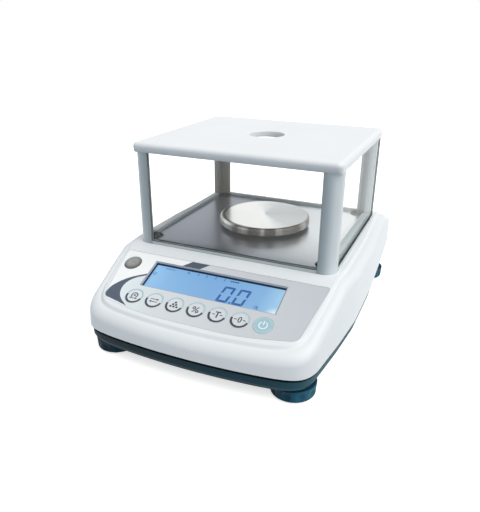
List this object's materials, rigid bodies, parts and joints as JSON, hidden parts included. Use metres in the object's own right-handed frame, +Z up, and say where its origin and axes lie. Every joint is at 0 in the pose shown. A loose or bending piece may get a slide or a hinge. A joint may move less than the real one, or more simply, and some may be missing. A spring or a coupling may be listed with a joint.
{
  "type": "electronic balance",
  "caption": "Electronic bench balance: white housing on a dark base with levelling feet, sloping key and display panel, round steel pan inside a clear draft shield with a lift-off lid.",
  "frame": {"origin": "on the surface that the balance stands on, under the middle of its plan", "axes": "+X to the right seen from the front, +Y to the rear, +Z up"},
  "size_m": [0.198, 0.322, 0.151],
  "materials": {
    "white_housing": "fine satin moulded ABS",
    "white_lid": "satin moulded ABS",
    "dark_base": "satin moulded ABS",
    "panel_film": "printed polycarbonate film",
    "black_plastic": "matt moulded plastic",
    "blue_lcd": "backlit liquid crystal display",
    "circuit_board": "solder-masked fibreglass",
    "level_vial": "acrylic vial with a bubble",
    "mirror_steel": "bright rolled stainless steel",
    "brushed_pan_steel": "brushed stainless steel",
    "fastener_steel": "zinc-plated steel",
    "port_steel": "nickel-plated steel",
    "aluminium": "clear anodised aluminium",
    "brass": "turned brass",
    "black_rubber": "moulded rubber",
    "grey_frame": "satin moulded ABS",
    "clear_pane": "clear acrylic sheet",
    "key_cap": "printed key cap",
    "dark_knob": "satin moulded knob"
  },
  "bodies": {
    "housing": {"upper_housing": "white_housing", "lower_base": "dark_base", "panel_overlay": "panel_film", "display_bezel": "black_plastic", "display_lcd": "blue_lcd", "display_board": "circuit_board", "keypad_board": "circuit_board", "level_vial": "level_vial", "level_holder": "black_plastic", "splash_plate": "mirror_steel", "load_cell": "aluminium", "load_cell_mount": "aluminium", "load_cell_bolt_1": "fastener_steel", "load_cell_bolt_2": "fastener_steel", "load_arm": "aluminium", "overload_stop": "fastener_steel", "main_board": "circuit_board", "data_port": "port_steel", "power_jack": "black_plastic", "shield_frame": "grey_frame", "pane_front": "clear_pane", "pane_back": "clear_pane", "pane_left": "clear_pane", "pane_right": "clear_pane", "corner_plug_front_left": "black_rubber", "corner_plug_front_right": "black_rubber", "corner_plug_rear_left": "black_rubber", "corner_plug_rear_right": "black_rubber", "foot_insert_front_left": "brass", "foot_insert_front_right": "brass", "foot_insert_rear_left": "brass", "foot_insert_rear_right": "brass", "cover_screw_front_left": "fastener_steel", "cover_screw_front_right": "fastener_steel", "cover_screw_rear_left": "fastener_steel", "cover_screw_rear_right": "fastener_steel"},
    "pan_carrier": {"pan_pin": "fastener_steel"},
    "pan": {"weighing_pan": "brushed_pan_steel", "pan_support": "black_plastic"},
    "lid": {"shield_lid": "white_lid"},
    "key_print": {"key_print": "key_cap"},
    "key_mode": {"key_mode": "key_cap"},
    "key_count": {"key_count": "key_cap"},
    "key_percent": {"key_percent": "key_cap"},
    "key_tare": {"key_tare": "key_cap"},
    "key_zero": {"key_zero": "key_cap"},
    "key_power": {"key_power": "key_cap"},
    "foot_front_left": {"foot_pad_front_left": "black_rubber"},
    "knob_front_left": {"foot_knob_front_left": "dark_knob", "foot_stud_front_left": "fastener_steel"},
    "foot_front_right": {"foot_pad_front_right": "black_rubber"},
    "knob_front_right": {"foot_knob_front_right": "dark_knob", "foot_stud_front_right": "fastener_steel"},
    "foot_rear_left": {"foot_pad_rear_left": "black_rubber"},
    "knob_rear_left": {"foot_knob_rear_left": "dark_knob", "foot_stud_rear_left": "fastener_steel"},
    "foot_rear_right": {"foot_pad_rear_right": "black_rubber"},
    "knob_rear_right": {"foot_knob_rear_right": "dark_knob", "foot_stud_rear_right": "fastener_steel"}
  },
  "joints": [
    {"name": "key_print_press", "type": "slide", "parent": "housing", "child": "key_print", "axis": [0, -0.3589, 0.9334], "range_m": [-0.0005, 0], "stiffness_N_per_m": 1200, "springref_m": 0.0004},
    {"name": "key_mode_press", "type": "slide", "parent": "housing", "child": "key_mode", "axis": [0, -0.3589, 0.9334], "range_m": [-0.0005, 0], "stiffness_N_per_m": 1200, "springref_m": 0.0004},
    {"name": "key_count_press", "type": "slide", "parent": "housing", "child": "key_count", "axis": [0, -0.3589, 0.9334], "range_m": [-0.0005, 0], "stiffness_N_per_m": 1200, "springref_m": 0.0004},
    {"name": "key_percent_press", "type": "slide", "parent": "housing", "child": "key_percent", "axis": [0, -0.3589, 0.9334], "range_m": [-0.0005, 0], "stiffness_N_per_m": 1200, "springref_m": 0.0004},
    {"name": "key_tare_press", "type": "slide", "parent": "housing", "child": "key_tare", "axis": [0, -0.3589, 0.9334], "range_m": [-0.0005, 0], "stiffness_N_per_m": 1200, "springref_m": 0.0004},
    {"name": "key_zero_press", "type": "slide", "parent": "housing", "child": "key_zero", "axis": [0, -0.3589, 0.9334], "range_m": [-0.0005, 0], "stiffness_N_per_m": 1200, "springref_m": 0.0004},
    {"name": "key_power_press", "type": "slide", "parent": "housing", "child": "key_power", "axis": [0, -0.3589, 0.9334], "range_m": [-0.0005, 0], "stiffness_N_per_m": 1200, "springref_m": 0.0004},
    {"name": "load_deflection", "type": "slide", "parent": "housing", "child": "pan_carrier", "axis": [0, 0, 1], "range_m": [-0.0003, 0], "stiffness_N_per_m": 60000, "springref_m": 0.0002},
    {"name": "pan_lift_off", "type": "slide", "parent": "pan_carrier", "child": "pan", "axis": [0, 0, 1], "range_m": [0, 0.05]},
    {"name": "lid_lift_off", "type": "slide", "parent": "housing", "child": "lid", "axis": [0, 0, 1], "range_m": [0, 0.08]},
    {"name": "foot_front_left_height", "type": "slide", "parent": "housing", "child": "foot_front_left", "axis": [0, 0, 1], "range_m": [-0.006, 0]},
    {"name": "foot_front_left_turn", "type": "hinge", "parent": "foot_front_left", "child": "knob_front_left", "pos_m": [-0.0732, -0.1328, 0.005], "axis": [0, 0, 1], "range_deg": [-1730, 0]},
    {"name": "foot_front_right_height", "type": "slide", "parent": "housing", "child": "foot_front_right", "axis": [0, 0, 1], "range_m": [-0.006, 0]},
    {"name": "foot_front_right_turn", "type": "hinge", "parent": "foot_front_right", "child": "knob_front_right", "pos_m": [0.0732, -0.1328, 0.005], "axis": [0, 0, 1], "range_deg": [-1730, 0]},
    {"name": "foot_rear_left_height", "type": "slide", "parent": "housing", "child": "foot_rear_left", "axis": [0, 0, 1], "range_m": [-0.006, 0]},
    {"name": "foot_rear_left_turn", "type": "hinge", "parent": "foot_rear_left", "child": "knob_rear_left", "pos_m": [-0.0793, 0.0807, 0.005], "axis": [0, 0, 1], "range_deg": [-1730, 0]},
    {"name": "foot_rear_right_height", "type": "slide", "parent": "housing", "child": "foot_rear_right", "axis": [0, 0, 1], "range_m": [-0.006, 0]},
    {"name": "foot_rear_right_turn", "type": "hinge", "parent": "foot_rear_right", "child": "knob_rear_right", "pos_m": [0.0793, 0.0807, 0.005], "axis": [0, 0, 1], "range_deg": [-1730, 0]}
  ],
  "couplings": [
    {"joint": "foot_front_left_turn", "follows": "foot_front_left_height", "rad_per_m": 5026.6},
    {"joint": "foot_front_right_turn", "follows": "foot_front_right_height", "rad_per_m": 5026.6},
    {"joint": "foot_rear_left_turn", "follows": "foot_rear_left_height", "rad_per_m": 5026.6},
    {"joint": "foot_rear_right_turn", "follows": "foot_rear_right_height", "rad_per_m": 5026.6}
  ]
}
